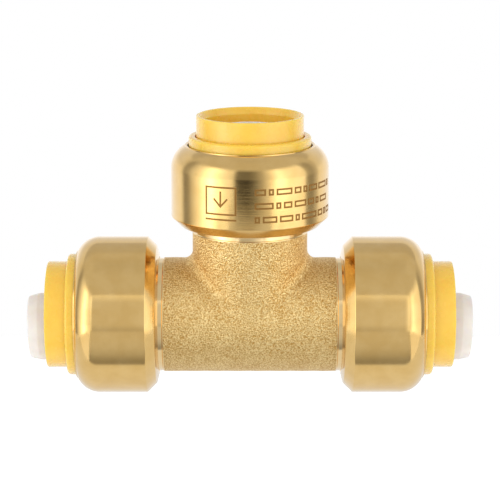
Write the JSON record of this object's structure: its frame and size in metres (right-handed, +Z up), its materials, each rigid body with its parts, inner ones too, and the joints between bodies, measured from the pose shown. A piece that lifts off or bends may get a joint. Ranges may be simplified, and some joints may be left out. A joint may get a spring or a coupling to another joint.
{
  "type": "push-to-connect tee fitting",
  "caption": "Brass tee fitting for pipe, with push-to-connect ports: crimped end caps, toothed grab rings, O-rings, sliding release collars and loose pipe liners.",
  "frame": {"origin": "the point where the axes of the three ports cross", "axes": "+X along the run towards the right port, +Z up the branch, +Y away from the front"},
  "size_m": [0.0762, 0.0268, 0.0481],
  "materials": {
    "forged_brass": "blasted",
    "turned_brass": "satin, turned",
    "yellow_acetal": "moulded satin",
    "grey_acetal": "moulded satin",
    "natural_plastic": "moulded, slightly translucent",
    "seal_rubber": "matte",
    "spring_steel": "brushed"
  },
  "bodies": {
    "fitting": {"tee_body": "forged_brass", "left_end_cap": "turned_brass", "left_cartridge_ring": "yellow_acetal", "left_spacer_ring": "grey_acetal", "left_o_ring": "seal_rubber", "right_end_cap": "turned_brass", "right_cartridge_ring": "yellow_acetal", "right_spacer_ring": "grey_acetal", "right_o_ring": "seal_rubber", "top_end_cap": "turned_brass", "top_cartridge_ring": "yellow_acetal", "top_spacer_ring": "grey_acetal", "top_o_ring": "seal_rubber"},
    "left_grab_ring": {"left_grab_ring": "spring_steel"},
    "left_release_collar": {"left_release_collar": "yellow_acetal"},
    "left_pipe_liner": {"left_pipe_liner": "natural_plastic"},
    "right_grab_ring": {"right_grab_ring": "spring_steel"},
    "right_release_collar": {"right_release_collar": "yellow_acetal"},
    "right_pipe_liner": {"right_pipe_liner": "natural_plastic"},
    "top_grab_ring": {"top_grab_ring": "spring_steel"},
    "top_release_collar": {"top_release_collar": "yellow_acetal"},
    "top_pipe_liner": {"top_pipe_liner": "natural_plastic"}
  },
  "joints": [
    {"name": "left_grab_ring_swivel", "type": "hinge", "parent": "fitting", "child": "left_grab_ring", "pos_m": [-0.0231, 0, 0], "axis": [-1, 0, 0], "continuous": true},
    {"name": "left_release_collar_slide", "type": "slide", "parent": "left_grab_ring", "child": "left_release_collar", "axis": [1, 0, 0], "range_m": [0, 0.002], "stiffness_N_per_m": 400, "deforming": ["left_grab_ring"]},
    {"name": "left_pipe_liner_slide", "type": "slide", "parent": "fitting", "child": "left_pipe_liner", "axis": [-0.9992, 0, -0.0394], "range_m": [-0.004, 0.0023]},
    {"name": "right_grab_ring_swivel", "type": "hinge", "parent": "fitting", "child": "right_grab_ring", "pos_m": [0.0231, 0, 0], "axis": [1, 0, 0], "continuous": true},
    {"name": "right_release_collar_slide", "type": "slide", "parent": "right_grab_ring", "child": "right_release_collar", "axis": [-1, 0, 0], "range_m": [0, 0.002], "stiffness_N_per_m": 400, "deforming": ["right_grab_ring"]},
    {"name": "right_pipe_liner_slide", "type": "slide", "parent": "fitting", "child": "right_pipe_liner", "axis": [0.9992, 0, -0.0394], "range_m": [-0.004, 0.0023]},
    {"name": "top_grab_ring_swivel", "type": "hinge", "parent": "fitting", "child": "top_grab_ring", "pos_m": [0, 0, 0.0231], "axis": [0, 0, 1], "continuous": true},
    {"name": "top_release_collar_slide", "type": "slide", "parent": "top_grab_ring", "child": "top_release_collar", "axis": [0, 0, -1], "range_m": [0, 0.002], "stiffness_N_per_m": 400, "deforming": ["top_grab_ring"]},
    {"name": "top_pipe_liner_slide", "type": "slide", "parent": "fitting", "child": "top_pipe_liner", "axis": [0, 0, 1], "range_m": [0, 0.0078]}
  ]
}
